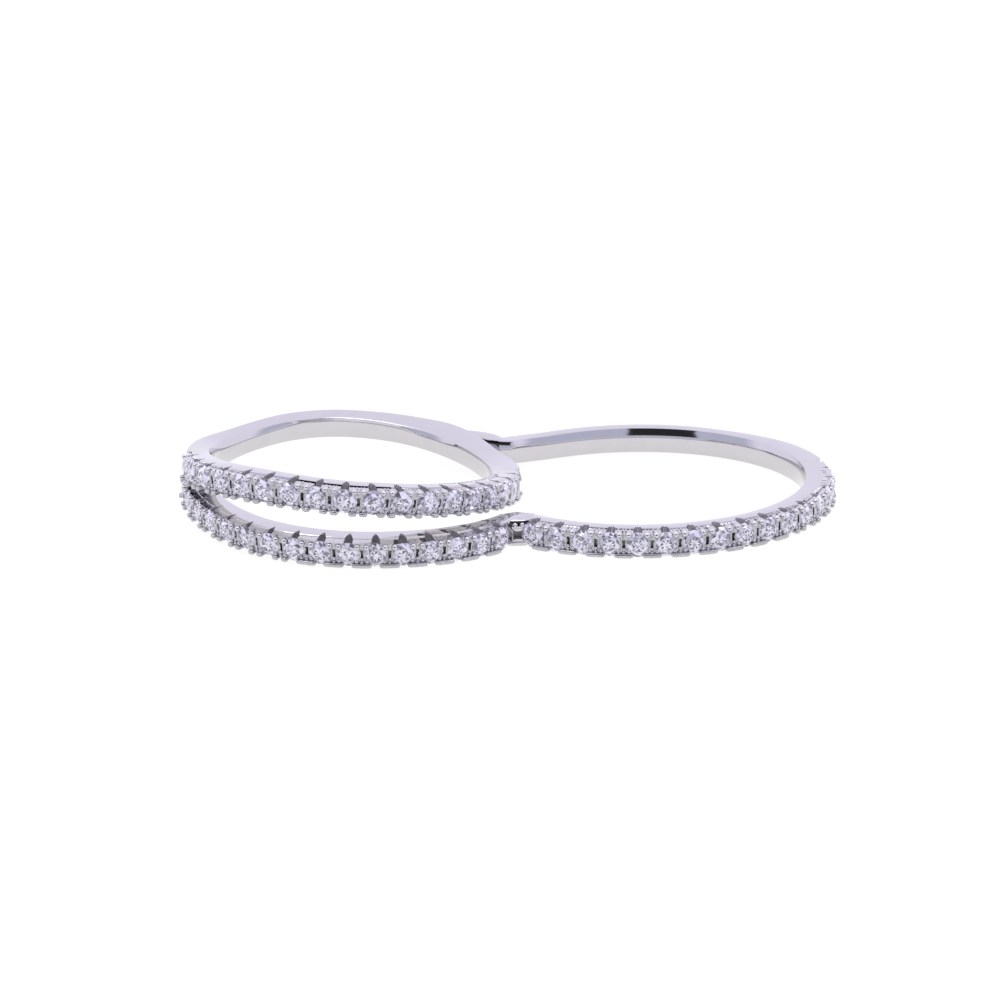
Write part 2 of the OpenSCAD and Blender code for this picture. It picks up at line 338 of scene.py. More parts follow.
def stations():
    """Stations of both bands: (angle, kind, notch reach, row, fade), with close pairs at each side of every U-cut."""
    eps = 0.006
    cell = []
    for row in ROWS.values():
        lst = []
        end = 0.62 * row.gap
        shelf = lambda s: (s, "plain" if row.name != "upper" and s < row.first - 0.3 else "shelf", 0)
        for k, s0 in enumerate(row.centres):
            f = row.fade(s0)
            g = row.tail(s0)
            cut = row.cut * (1 - 0.5 * f - 0.42 * min(g, 1.1))
            if row.name == "lower":
                apex, mouth = row.apex + 0.42 * g, row.mouth + 0.30 * g
            else:
                apex, mouth = row.apex + 0.62 * f + 0.50 * min(g, 1.5), min(row.mouth + 0.75 * f + 0.46 * g, 1.50)
            for t in (-0.60, -0.46, -0.36):
                lst.append(shelf(s0 + t))
            lst.append(shelf(s0 - cut - eps))
            for q in (-1, -0.93, -0.78, -0.55, -0.28, 0, 0.28, 0.55, 0.78, 0.93, 1):
                lst.append((s0 + q * (cut - eps), "notch", apex + (mouth - apex) * abs(q) ** row.bullet))
            lst.append(shelf(s0 + cut + eps))
            for t in (0.36, 0.46, 0.60):
                lst.append(shelf(s0 + t))
            if k < row.count - 1:
                lst.append(shelf(s0 + row.gap / 2))
        s_lo, s_hi = row.centres[0] - end, row.centres[-1] + end
        if row.name != "upper":
            s_lo = 0.0
            lst = [shelf(0.0), shelf(0.25)] + [x for x in lst if x[0] > 0.3]
        else:
            lst = [shelf(s_lo + eps)] + [x for x in lst if x[0] > s_lo + eps]
        lst += [shelf(s_hi - eps)]
        lst = [(float(row.angle(s)), kind, un, row, row.fade(s), row.dark(s), row.tail(s)) for s, kind, un in sorted(lst)]
        edge = [float(row.angle(s_hi))] + ([float(row.angle(s_lo))] if row.name == "upper" else [])
        cell.append((row, lst, edge))
    return cell


def plain_at(a):
    return (float(a), "plain", 0, None, 0.0, 0.0, 0.0)


def sweep(band, stats, closed):
    """Skins a list of stations, sorted by growing angle."""
    ang = np.array([s[0] for s in stats])
    hs, ts = band.col(ang, 2), band.col(ang, 3)
    if band is outer:      # both ends shrink a little where they run into the raised ring
        near, far = ease((ang + 266) / 10), ease((-545 - ang) / 10)
        ts = ts * (1 - 0.32 * near - 0.20 * far) + 0.40 * ease((-322 - ang) / 22) * (ang > -352)
        hs = hs * (1 - 0.10 * near - 0.16 * far)
    crotch = [float(band is outer and -273.9 < a < -262.5) for a in ang]
    turn = np.mod(ang, 360.0)
    if band is upper:      # the plain metal stands out to meet the row at both of its ends
        ts = ts + 0.22 * ease((30 - turn) / 18) + 0.30 * ease((turn - 134) / 22) * (turn < 176)
    roll = (ease((turn - 104) / 30) * ease((196 - turn) / 58) + 0.35 * ease((turn - 34) / 14) * ease((66 - turn) / 12)) * (band is upper)
    rings = [section(h, t, st[1], st[2], st[3], st[4], st[5], st[6], g, q) for st, h, t, g, q in zip(stats, hs, ts, crotch, roll)]
    k = len(rings[0])
    rings = np.stack(rings)
    verts = band.place(ang[:, None], rings[..., 0], rings[..., 1]).reshape(-1, 3)
    faces, mats = [], []
    m = len(stats)
    for i in range(m if closed else m - 1):
        i2 = (i + 1) % m
        kinds = stats[i][1], stats[i2][1]
        for j in range(k):
            j2 = (j + 1) % k
            faces.append((i * k + j, i * k + j2, i2 * k + j2, i2 * k + j))
            mat = 0
            if K_OUT0 <= j < K_OUT1 - 1:
                if "notch" in kinds:
                    mat = 1 if K_OUT0 < j < K_OUT1 - 2 else 0
                elif "shelf" in kinds and K_OUT0 + 6 <= j <= K_OUT1 - 8:
                    mat = 1
                # the groove between the upper row's rim and beads is painted near-black shade
                elif kinds == ("shelf", "shelf") and 13 <= j <= 15 and stats[i][5] > 0 and stats[i2][5] > 0:
                    mat = 2
            # the crotch seam, where the loops part, is painted near-black shade
            if crotch[i] and crotch[i2] and K_WALL <= j <= K_WALL + 1:
                mat = 2
            # the lower row's shelf and rim where they run under the raised ring, and the raised ring's underside at its
            # left end, take the paler material: painted light lifting the shade between the rows
            if band is outer and ("shelf", "shelf") == kinds and (ang[i] < -532 and 13 <= j <= 17 or ang[i] < -478 and 13 <= j <= 14):
                mat = 3
            elif band is upper and 172 < turn[i] < 190 and j <= 2:
                mat = 3
            mats.append(mat)
    if not closed:
        faces.append(tuple(range(k - 1, -1, -1)))
        faces.append(tuple((m - 1) * k + j for j in range(k)))
        mats += [0, 0]
    return verts, faces, mats


def build_band(mats):
    cells = stations()
    soup = Soup()
    # outline band
    paved = [x for row, lst, edge in cells if row.name != "upper" for x in lst]
    edges = sorted(e for row, lst, edge in cells if row.name != "upper" for e in edge)
    lo, hi = edges[0], edges[-1]
    plain = [plain_at(a) for a in np.arange(-555, -256 + 1e-6, 1.15)]
    plain = [x for x in plain if x[0] < lo - 0.3 or x[0] > hi + 0.3] + [plain_at(lo), plain_at(hi)]
    plain += [plain_at(a) for a in (-274.0, -273.8, -262.6, -262.4)]
    stats = sorted({round(x[0], 5): x for x in plain + paved}.values(), key=lambda x: x[0])
    soup.add(*sweep(outer, stats, False))
    # raised ring
    row, lst, edge = cells[2]
    lo, hi = min(edge), max(edge)
    plain = [plain_at(a) for a in np.arange(hi - 360 + 1.2, lo - 0.6, 1.6)] + [plain_at(hi - 360), plain_at(lo)]
    stats = sorted(plain + lst, key=lambda x: x[0])
    soup.add(*sweep(upper, stats, True))
    return soup.build("ring_metal", mats, sharp=30)


# ---------------------------------------------------------------------------
# Beads, wedges and feet between the stones
# ---------------------------------------------------------------------------


def rod_shape(u0, u1, r, rw=None, squash=0.85, around=14, lean=(0, 0), power=2.0):
    """A rod along u with a domed tip, as (t, u, w) points round its own axis. power above 2 squares its section."""
    rw = rw or r
    dome = min(r, rw) * squash
    prof = [(u0, 0.92), (u0 + (u1 - dome - u0) * 0.6, 1.0), (u1 - dome, 1.0)]
    for q in (20, 40, 58, 74):
        x = math.radians(q)
        inner = 1 - (1 - math.cos(x)) * min(r, rw) / r, 1 - (1 - math.cos(x)) * min(r, rw) / rw
        prof.append((u1 - dome + dome * math.sin(x), inner))
    v, f = [], []
    for u, s in prof:
        st, sw = s if isinstance(s, tuple) else (s, s)
        g = (u - u0) / (u1 - u0)
        for k in range(around):
            x = 2 * math.pi * k / around
            c, n = math.cos(x), math.sin(x)
            c, n = math.copysign(abs(c) ** (2 / power), c), math.copysign(abs(n) ** (2 / power), n)
            v.append((st * r * c + lean[0] * g * g, u, sw * rw * n + lean[1] * g * g))
    v.append((lean[0], u1, lean[1]))
    n = len(prof)
    for i in range(n - 1):
        for k in range(around):
            k2 = (k + 1) % around
            f.append((i * around + k, (i + 1) * around + k, (i + 1) * around + k2, i * around + k2))
    for k in range(around):
        f.append(((n - 1) * around + k, n * around, (n - 1) * around + (k + 1) % around))
    f.append(tuple(range(around)))
    return np.array(v), f


def frame_shape(half, h, ti=0.108, hole=(0.30, -0.19), te_max=0.56, visible=0.575, front=(1.52, 1.58, 1.55), back=1.30, side=3, slot=5):
    """The metal between two stones: a plate with a slot in its middle, curved in to the two stones. half is half their distance."""
    m = h / 2
    levels = [m - 0.06, m - 0.20, 0.45, hole[0], (hole[0] + hole[1]) / 2, hole[1], -0.43, -(m - 0.20), -(m - 0.10)]
    ts, us = [], []
    for i, w in enumerate(levels):
        te = min(half - visible * math.sqrt(max(1 - (w / 0.79) ** 2, 0)), te_max)
        te = max(te, ti + 0.05)
        lift = (0, 0.02, -0.025, 0.015, 0, 0.015, -0.03, 0.02, -0.02)[i]
        ts.append((-te, -(te + ti) / 2, -ti, ti, (te + ti) / 2, te))
        us.append((front[0] + lift, front[1] + lift, front[2], front[2], front[1] + lift, front[0] + lift))
    nl = len(levels)
    v = [(t, u, w - m) for tt, uu, w in zip(ts, us, levels) for t, u in zip(tt, uu)]
    f, mats = [], []
    q = lambda i, j: i * 6 + j
    for i in range(nl - 1):
        for j in range(5):
            if j == 2 and 3 <= i < 5:
                continue
            f.append((q(i, j), q(i + 1, j), q(i + 1, j + 1), q(i, j + 1)))
            mats.append(0)
    # outer skirt and back
    mats = [side] * len(f)
    loop = [q(0, j) for j in range(6)] + [q(i, 5) for i in range(1, nl)] + [q(nl - 1, j) for j in range(4, -1, -1)] + [q(i, 0) for i in range(nl - 2, 0, -1)]
    base = len(v)
    v += [(v[i][0], 1.00, v[i][2]) for i in loop]
    for k in range(len(loop)):
        k2 = (k + 1) % len(loop)
        f.append((loop[k], loop[k2], base + k2, base + k))
        mats.append(0)
    f.append(tuple(range(base, base + len(loop))))
    mats.append(0)
    # slot
    ring = [q(3, 2), q(3, 3), q(4, 3), q(5, 3), q(5, 2), q(4, 2)]
    base = len(v)
    v += [(v[i][0], back, v[i][2]) for i in ring]
    for k in range(6):
        k2 = (k + 1) % 6
        f.append((ring[k], base + k, base + k2, ring[k2]))
        mats.append(slot)
    f.append(tuple(base + k for k in range(6)))
    mats.append(slot)
    return np.array(v), f, mats


def rib_shape(h):
    """A smooth bar that runs from the rim over the outside down to the foot."""
    path = [(1.30, -0.02), (1.50, -0.045), (1.65, -0.13), (1.755, -0.27), (1.80, -0.50), (1.81, -h * 0.55), (1.79, -h + 0.38), (1.74, -h + 0.2)]
    across = [(-0.22, -0.10), (-0.16, -0.03), (-0.07, 0.0), (0.07, 0.0), (0.16, -0.03), (0.22, -0.10)]
    v, f = [], []
    for i, (u, w) in enumerate(path):
        a, b = path[max(i - 1, 0)], path[min(i + 1, len(path) - 1)]
        d = math.hypot(b[0] - a[0], b[1] - a[1])
        nu, nw = -(b[1] - a[1]) / d, (b[0] - a[0]) / d
        v += [(t, u + nu * o, w + nw * o) for t, o in across]
        v += [(0.22, 1.0 + (u - 1.3) * 0.1, min(w, -0.2)), (-0.22, 1.0 + (u - 1.3) * 0.1, min(w, -0.2))]
    n = len(across) + 2
    for i in range(len(path) - 1):
        for k in range(n):
            k2 = (k + 1) % n
            f.append((i * n + k, (i + 1) * n + k, (i + 1) * n + k2, i * n + k2))
    f.append(tuple(range(n)))
    f.append(tuple((len(path) - 1) * n + k for k in range(n)))
    return np.array(v), f


def plate_shape(outline_pts, w0, w1, inset=0.02):
    """A flat plate with a softened top edge, from (t, u) points."""
    n = len(outline_pts)
    cx = sum(p[0] for p in outline_pts) / n
    cy = sum(p[1] for p in outline_pts) / n
    v = []
    for w, k in ((w0, 0.0), (w1 - inset, 0.0), (w1, inset)):
        v += [(t - math.copysign(k, t - cx), u - math.copysign(k, u - cy), w) for t, u in outline_pts]
    f = [(i * n + k, i * n + (k + 1) % n, (i + 1) * n + (k + 1) % n, (i + 1) * n + k) for i in range(2) for k in range(n)]
    f += [tuple(range(n)), tuple(2 * n + k for k in range(n))]
    return np.array(v), f


# a small box; each one gets the near-black material and stands as painted shade
def shade_dash_shape(t0, t1, u0, u1, w0, w1):
    v = [(t, u, w) for t in (t0, t1) for u in (u0, u1) for w in (w0, w1)]
    return np.array(v), [(0, 1, 3, 2), (4, 6, 7, 5), (0, 4, 5, 1), (2, 3, 7, 6), (0, 2, 6, 4), (1, 5, 7, 3)]


def face_out(ob):
    """Turns every shell's faces outward."""
    bm = bmesh.new()
    bm.from_mesh(ob.data)
    bmesh.ops.recalc_face_normals(bm, faces=bm.faces)
    bm.to_mesh(ob.data)
    bm.free()
    ob.data.set_sharp_from_angle(angle=math.radians(38))
    return ob


def build_setting(row, mats):
    soup = Soup()
    gaps = [(row.centres[k] + row.gap / 2, (1, 1)) for k in range(row.count - 1)]
    gaps.append((row.centres[-1] + row.gap / 2, (1, 0)))
    if row.name == "upper":
        gaps.append((row.centres[0] - row.gap / 2, (0, 1)))
    for s, sides in gaps:
        add_post(soup, row, s, sides)
    if row.name == "right":
        add_bridge(soup)
    return face_out(soup.build(row.name + "_setting", mats))


def placer(band, a, h, sense):
    t_ax, o_ax, up = band.axes(a, 1.2, -h / 2)
    origin = band.place(a, 0.0, 0.0)
    t_ax = t_ax * sense
    return lambda p: origin + p[:, :1] * t_ax + p[:, 1:2] * o_ax + p[:, 2:] * up


def add_post(soup, row, s, sides):
    """What stands between two stones: two beads at the top, a plate with a dark slit, small beads under it and a foot."""
    band, half = row.band, row.gap / 2
    a = float(row.angle(s))
    h = float(band.col(a, 2))
    place = placer(band, a, h, row.sense)
    rt, rw, w_top, tip = row.bead
    spread = 0.27
    fade, tail = row.fade(s), row.tail(s)
    lobe_t, lobe_a = row.foot
    jit = lambda k: rng.uniform(-k, k)

    def boss(t, u, w, r, start=1.2):
        v, f = rod_shape(start, u + jit(0.015), r * (1 + jit(0.08)), around=12)
        v[:, 0] += t + jit(0.012)
        v[:, 2] += w + jit(0.012)
        soup.add(place(v), f)

    for sg, on in ((-1, sides[0]), (1, sides[1])):
        if not on:
            continue
        if fade < 0.35:
            v, f = rod_shape(1.24 + 0.1 * tail, tip + jit(0.02), rt * (1 + jit(0.06)), rw * (1 + jit(0.06)), squash=0.95, lean=(sg * 0.02, -0.015))
            v[:, 0] += sg * spread + jit(0.014)
            v[:, 2] += w_top - 0.07 * tail - 0.28 * max(tail - 1, 0) + jit(0.014)
            soup.add(place(v), f)
        boss(sg * (spread + 0.05), ROW_OUT - 0.15, -h + 0.36, 0.125, 0.95)
        # the foot lobes here and below take material 4, the darker painted-shade copy of the rhodium
        if lobe_t or tail > 0.45:
            v, f = rod_shape(0.84, ROW_OUT - 0.01 + jit(0.01), lobe_a if lobe_t else 0.22, 0.14, squash=0.6, around=18, power=2.4)
            v[:, 0] += sg * (lobe_t or 0.31)
            v[:, 2] += -h + 0.14
            soup.add(place(v), f, 4)
    if not lobe_t and tail <= 0.45:
        part = lobe_a if all(sides) else lobe_a / 2
        v, f = rod_shape(0.84, ROW_OUT - 0.01 + jit(0.01), part, 0.13, squash=0.5, around=28, power=4.0)
        v[:, 0] += 0 if all(sides) else (-lobe_a / 2 if sides[0] else lobe_a / 2)
        v[:, 2] += -h + 0.13
        soup.add(place(v), f, 4)
    if all(sides) and fade >= 0.35:
        v, f = rib_shape(h)
        soup.add(place(v), f)
    elif all(sides):
        k = round((s - row.first) / row.gap - 0.5)
        open_slit = {"right": k <= 7, "lower": k <= 8, "upper": 6 <= k <= 10}[row.name]
        v, f, m = frame_shape(half, h) if open_slit else frame_shape(half, h, ti=0.07, slot=3)
        soup.add(place(v), f, m)
        mid = -h / 2
        if fade < 0.35:
            for t in (-0.36, -0.12, 0.12, 0.36):
                boss(t + jit(0.04), 1.28, w_top + rw - 0.055 - (0.03 if row.name == "upper" else 0.0), 0.058, 1.02 + jit(0.05))
        boss(0.0, 1.66, mid - 0.30, 0.115)
        boss(0.0, 1.69, mid - 0.50, 0.10)
        for sg in (-1, 1):
            boss(sg * 0.185, 1.585, mid - 0.08, 0.062)
            boss(sg * 0.19, 1.585, mid + 0.10, 0.062)
            boss(sg * 0.21, 1.60, mid - 0.26, 0.075)
        # small near-black boxes on the shelf between the rim and the beads: painted shade
        if row.name == "lower" and 3 <= k <= 10:
            for t0, t1 in ((-0.09, 0.05), (0.44, 0.50)):
                v, f = shade_dash_shape(t0, t1, 1.10, 1.20, -0.11, -0.074)
                soup.add(place(v), f, 2)
        elif row.name == "right" and k in (2, 4, 5, 7):
            v, f = shade_dash_shape(-0.34, 0.02, 1.10, 1.18, -0.09, -0.07)
            soup.add(place(v), f, 2)


def add_bridge(soup):
    """The link over the front bridge, square to the front: a flat plate with two beads under its edge, a square hole and an arched foot."""
    h = float(outer.col(-450.0, 2))
    y_in = float(outline(np.array([-450.0]))[0][1]) + SHIFT_Y
    z_in = float(outer.col(-450.0, 1))
    place = lambda p: np.stack([p[:, 0], y_in - p[:, 1], z_in + p[:, 2]], -1)
    v, f = plate_shape([(-1.05, 0.35), (1.05, 0.35), (0.98, 1.02), (0.62, 1.50), (0.40, 1.60), (-0.40, 1.60), (-0.64, 1.50), (-0.98, 1.02)], -0.04, -0.003)
    soup.add(place(v), f)
    # a near-black box under the plate's edge: painted shade
    v, f = shade_dash_shape(-0.43, 0.43, 1.10, 1.57, -0.19, -0.038)
    soup.add(place(v), f, 2)
    for sg in (-1, 1):
        v, f = rod_shape(1.20, ROW_OUT - 0.05, 0.185)
        v[:, 0] += sg * 0.218
        v[:, 2] += -0.30
        soup.add(place(v), f)
    v, f, m = frame_shape(0.97, h - 0.30, ti=0.30, hole=(0.28, -0.23), te_max=0.70, visible=0.60, front=(1.72, 1.80, 1.75), back=1.35, side=0, slot=1)
    v[:, 2] -= 0.28
    soup.add(place(v), f, m[:-1] + [5])
    v, f = rod_shape(0.84, ROW_OUT - 0.02, 0.72, 0.15, squash=0.5, around=26, power=3.0)
    v[:, 2] += -h + 0.15
    soup.add(place(v), f)


# ---------------------------------------------------------------------------
# Brilliant-cut stones
# ---------------------------------------------------------------------------


def brilliant(r):
    """Round brilliant. The table and the crown carry the small fields that a cut stone shows by turning light back. z is up through the table."""
    crown, pav, table, girdle = 0.150 * 2 * r, 0.43 * 2 * r, 0.60 * r, 0.012 * 2 * r
    wob = lambda k: rng.uniform(-k, k)
    v, f, kind = [], [], []

    def ring(n, rad, z, turn, jr=0.0, jz=0.0):
        start = len(v)
        for k in range(n):
            x = math.radians(360 / n * k + turn) + wob(jr) * 1.2
            q = rad * (1 + wob(jr))
            v.append((q * math.cos(x), q * math.sin(x), z + wob(jz)))
        return start

    v.append((wob(0.05) * r, wob(0.05) * r, crown + 0.012 * r))
    A = ring(8, 0.22 * r, crown, 0, 0.10, 0.02 * r)
    B = ring(16, 0.47 * r, crown, 11.25, 0.06, 0.02 * r)
    T = ring(8, table, crown, 22.5, 0.03)
    S = ring(8, 0.785 * r, crown * 0.56, 0, 0.03, 0.014 * r)
    K = ring(8, 0.80 * r, crown * 0.50, 22.5, 0.03, 0.014 * r)
    G = ring(16, r, girdle / 2, 0)
    H = ring(16, r, -girdle / 2, 0)
    L = ring(8, 0.30 * r, -girdle / 2 - pav * 0.72, 22.5)
    v.append((0, 0, -girdle / 2 - pav))
    C = len(v) - 1
    for k in range(8):
        n, b = (k + 1) % 8, (k - 1) % 8
        g0, g1, g2 = 2 * k, 2 * k + 1, (2 * k + 2) % 16
        b0, b1, b2, bb = B + 2 * k, B + 2 * k + 1, B + (2 * k + 2) % 16, B + (2 * k - 1) % 16
        f += [(0, A + k, A + n), (A + k, bb, b0), (A + k, b0, A + n), (b0, b1, A + n)]
        kind += ["eye", "shaft", "wedge0", "wedge1"]
        f += [(b0, T + k, b1), (b1, T + k, T + n), (b1, T + n, b2)]
        kind += ["tip", "edge", "edge"]
        f += [(T + b, S + k, T + k), (T + k, S + k, K + k), (T + k, K + k, S + n), (S + k, G + g0, G + g1), (S + k, G + g1, K + k),
              (K + k, G + g1, G + g2), (K + k, G + g2, S + n)]
        kind += ["star", "kite", "kite", "upper", "upper", "upper", "upper"]
        f += [(H + g0, L + b, L + k), (H + g0, L + k, H + g1), (H + g1, L + k, H + g2), (L + b, C, L + k)]
        kind += ["main", "lower", "lower", "main"]
    for k in range(16):
        n = (k + 1) % 16
        f.append((G + k, H + k, H + n, G + n))
        kind.append("girdle")
    return np.array(v, float), f, kind


# painted glints and reflections: how bright each kind of facet is painted, three levels, met with the chances 0.5, 0.28
# and 0.22
FACET_GLINT_LEVELS = {
    "eye": (0.95, 0.62, 0.34), "shaft": (0.14, 0.24, 0.70), "wedge0": (1.0, 0.62, 0.34), "wedge1": (0.90, 0.45, 0.24),
    "tip": (0.42, 0.90, 0.20), "edge": (0.95, 0.56, 0.28), "star": (0.92, 0.50, 0.24), "kite": (0.88, 0.52, 0.24), "upper": (0.86, 0.42, 0.16),
    "girdle": (0.4, 0.4, 0.4), "main": (0.6, 0.5, 0.4), "lower": (0.6, 0.5, 0.4)}


def build_stones(row, mat):
    band = row.band
    verts, faces, tone = [], [], []
    base = 0
    for k, s in enumerate(row.centres):
        if k == 0 and row.name != "upper":
            s += 0.13
        a = float(row.angle(s))
        h = float(band.col(a, 2))
        w = -h / 2 if row.seat is None else row.seat
        t_ax, o_ax, up = band.axes(a, GIRDLE_U, w)
        origin = band.place(a, GIRDLE_U, w)
        r = STONE_R * (1 + rng.uniform(-0.006, 0.006))
        v, f, kind = brilliant(r)
        spin = math.radians(rng.uniform(0, 45))
        c, sn = math.cos(spin), math.sin(spin)
        tip = rng.uniform(-0.03, 0.03), rng.uniform(-0.03, 0.03)
        x = v[:, 0] * c - v[:, 1] * sn
        y = v[:, 0] * sn + v[:, 1] * c
        z = v[:, 2] + tip[0] * x + tip[1] * y
        p = origin + x[:, None] * t_ax + y[:, None] * up + z[:, None] * o_ax
        hand = np.dot(np.cross(t_ax, up), o_ax) < 0
        verts.append(p)
        for q, kd in zip(f, kind):
            faces.append(tuple(base + i for i in (q[::-1] if hand else q)))
            tone.append(kd)
        base += len(v)
    ob = new_object(row.name + "_stones", np.concatenate(verts), faces, [mat], smooth=False)
    me = ob.data
    att = me.color_attributes.new("facet", "FLOAT_COLOR", "CORNER")
    vals = np.ones((len(me.loops), 4), np.float32)
    for poly, kd in zip(me.polygons, tone):
        g = rng.random()
        lv = FACET_GLINT_LEVELS[kd]
        level = lv[0] if g < 0.50 else lv[1] if g < 0.78 else lv[2]
        # facets that face up are painted up to 22% brighter: painted light from above
        level = min(level * rng.uniform(0.96, 1.12) * (1 + 0.22 * max(poly.normal.z, 0)), 1.0)
        tint = rng.random()
        col = (level * (0.97 - 0.10 * tint), level * (0.95 - 0.13 * tint), min(level * (1.0 + 0.02 * tint), 1.0))
        for li in poly.loop_indices:
            vals[li, :3] = col
    att.data.foreach_set("color", vals.ravel())
    return ob


# ---------------------------------------------------------------------------
# Materials
# ---------------------------------------------------------------------------


def nodes_of(name):
    m = bpy.data.materials.new(name)
    m.use_nodes = True
    nt = m.node_tree
    return m, nt, nt.nodes["Principled BSDF"]


def fine_noise(nt, scale, detail=3.0, rough=0.55):
    tc = nt.nodes.new("ShaderNodeTexCoord")
    n = nt.nodes.new("ShaderNodeTexNoise")
    n.inputs["Scale"].default_value = scale
    n.inputs["Detail"].default_value = detail
    n.inputs["Roughness"].default_value = rough
    nt.links.new(tc.outputs["Object"], n.inputs["Vector"])
    return n


def ramp(nt, src, stops):
    r = nt.nodes.new("ShaderNodeValToRGB")
    while len(r.color_ramp.elements) < len(stops):
        r.color_ramp.elements.new(0.5)
    for e, (p, c) in zip(r.color_ramp.elements, stops):
        e.position, e.color = p, (*c, 1)
    nt.links.new(src, r.inputs["Fac"])
    return r


def rhodium():
    m, nt, b = nodes_of("polished_rhodium")
    b.inputs["Metallic"].default_value = 1.0
    n = fine_noise(nt, 900)
    col = ramp(nt, n.outputs["Fac"], [(0.35, (0.620, 0.602, 0.622)), (0.65, (0.640, 0.622, 0.642))])
    nt.links.new(col.outputs["Color"], b.inputs["Base Color"])
    n2 = fine_noise(nt, 2600, 4)
    rr = nt.nodes.new("ShaderNodeMapRange")
    rr.inputs["To Min"].default_value, rr.inputs["To Max"].default_value = 0.05, 0.11
    nt.links.new(n2.outputs["Fac"], rr.inputs["Value"])
    nt.links.new(rr.outputs["Result"], b.inputs["Roughness"])
    bump = nt.nodes.new("ShaderNodeBump")
    bump.inputs["Strength"].default_value = 0.05
    bump.inputs["Distance"].default_value = 0.00001
    nt.links.new(n2.outputs["Fac"], bump.inputs["Height"])
    nt.links.new(bump.outputs["Normal"], b.inputs["Normal"])
    return m


def recess():
    m, nt, b = nodes_of("shadowed_recess")
    b.inputs["Metallic"].default_value = 0.8
    b.inputs["Roughness"].default_value = 0.32
    n = fine_noise(nt, 3000, 4)
    col = ramp(nt, n.outputs["Fac"], [(0.3, (0.62, 0.61, 0.61)), (0.7, (0.80, 0.78, 0.78))])
    nt.links.new(col.outputs["Color"], b.inputs["Base Color"])
    return m


# painted light: a paler, lavender, less metallic copy of the metal for faces in the dark gap under the raised ring,
# lifting their shade
def inner_gap_painted_light():
    m, nt, b = nodes_of("inner_gap_painted_light")
    b.inputs["Metallic"].default_value = 0.35
    b.inputs["Roughness"].default_value = 0.42
    n = fine_noise(nt, 3000, 4)
    col = ramp(nt, n.outputs["Fac"], [(0.3, (0.74, 0.73, 0.79)), (0.7, (0.84, 0.83, 0.89))])
    nt.links.new(col.outputs["Color"], b.inputs["Base Color"])
    return m


def shaded():
    m, nt, b = nodes_of("shaded_setting")
    b.inputs["Metallic"].default_value = 1.0
    b.inputs["Roughness"].default_value = 0.22
    n = fine_noise(nt, 9000, 4, 0.7)
    col = ramp(nt, n.outputs["Fac"], [(0.38, (0.30, 0.30, 0.33)), (0.62, (0.60, 0.59, 0.64))])
    nt.links.new(col.outputs["Color"], b.inputs["Base Color"])
    return m


# painted shade: a darker copy of the rhodium for the lobes of the feet at the bottom of the settings
def foot_shade_metal():
    m, nt, b = nodes_of("foot_rhodium_painted_shade")
    b.inputs["Metallic"].default_value = 1.0
    b.inputs["Roughness"].default_value = 0.22
    n = fine_noise(nt, 5000, 3, 0.6)
    col = ramp(nt, n.outputs["Fac"], [(0.35, (0.46, 0.46, 0.465)), (0.65, (0.56, 0.56, 0.565))])
    nt.links.new(col.outputs["Color"], b.inputs["Base Color"])
    return m


def slot_shade():
    m, nt, b = nodes_of("slot_shade")
    b.inputs["Metallic"].default_value = 0.8
    b.inputs["Roughness"].default_value = 0.40
    n = fine_noise(nt, 3500, 3)
    col = ramp(nt, n.outputs["Fac"], [(0.3, (0.14, 0.14, 0.14)), (0.7, (0.24, 0.24, 0.24))])
    nt.links.new(col.outputs["Color"], b.inputs["Base Color"])
    return m


# near-black painted shade for the groove behind the upper row's beads, the crotch seam and the small dark boxes on the
# shelves and under the bridge's plate
def groove():
    m, nt, b = nodes_of("groove_painted_shade")
    b.inputs["Metallic"].default_value = 0.8
    b.inputs["Roughness"].default_value = 0.45
    n = fine_noise(nt, 3000, 3)
    col = ramp(nt, n.outputs["Fac"], [(0.3, (0.030, 0.030, 0.031)), (0.7, (0.055, 0.055, 0.057))])
    nt.links.new(col.outputs["Color"], b.inputs["Base Color"])
    return m


# the stone's base colour is the painted facet pattern: painted glints and reflections
def stone():
    m, nt, b = nodes_of("clear_brilliant")
    b.inputs["Roughness"].default_value = 0.02
    b.inputs["IOR"].default_value = 1.75
    b.inputs["Metallic"].default_value = 0.12
    att = nt.nodes.new("ShaderNodeVertexColor")
    att.layer_name = "facet"
    nt.links.new(att.outputs["Color"], b.inputs["Base Color"])
    return m


def floor_material():
    m, nt, b = nodes_of("white_table")
    b.inputs["Roughness"].default_value = 0.9
    n = fine_noise(nt, 40)
    col = ramp(nt, n.outputs["Fac"], [(0.3, (0.118, 0.118, 0.119)), (0.7, (0.122, 0.122, 0.123))])
    nt.links.new(col.outputs["Color"], b.inputs["Base Color"])
    geo = nt.nodes.new("ShaderNodeTexCoord")
    far = nt.nodes.new("ShaderNodeVectorMath")
    far.operation = "LENGTH"
    nt.links.new(geo.outputs["Object"], far.inputs[0])
    span = nt.nodes.new("ShaderNodeMapRange")
    span.inputs["From Min"].default_value, span.inputs["From Max"].default_value = 0.034, 0.062
    nt.links.new(far.outputs["Value"], span.inputs["Value"])
    tone = ramp(nt, span.outputs["Result"], [(0.0, (0.852, 0.852, 0.852)), (1.0, (0.852, 0.840, 0.985))])
    nt.links.new(tone.outputs["Color"], b.inputs["Emission Color"])
    b.inputs["Emission Strength"].default_value = 1.08
    b.inputs["Specular IOR Level"].default_value = 0.0
    return m


# ---------------------------------------------------------------------------
# Stage: floor, sky, lights, camera
# ---------------------------------------------------------------------------


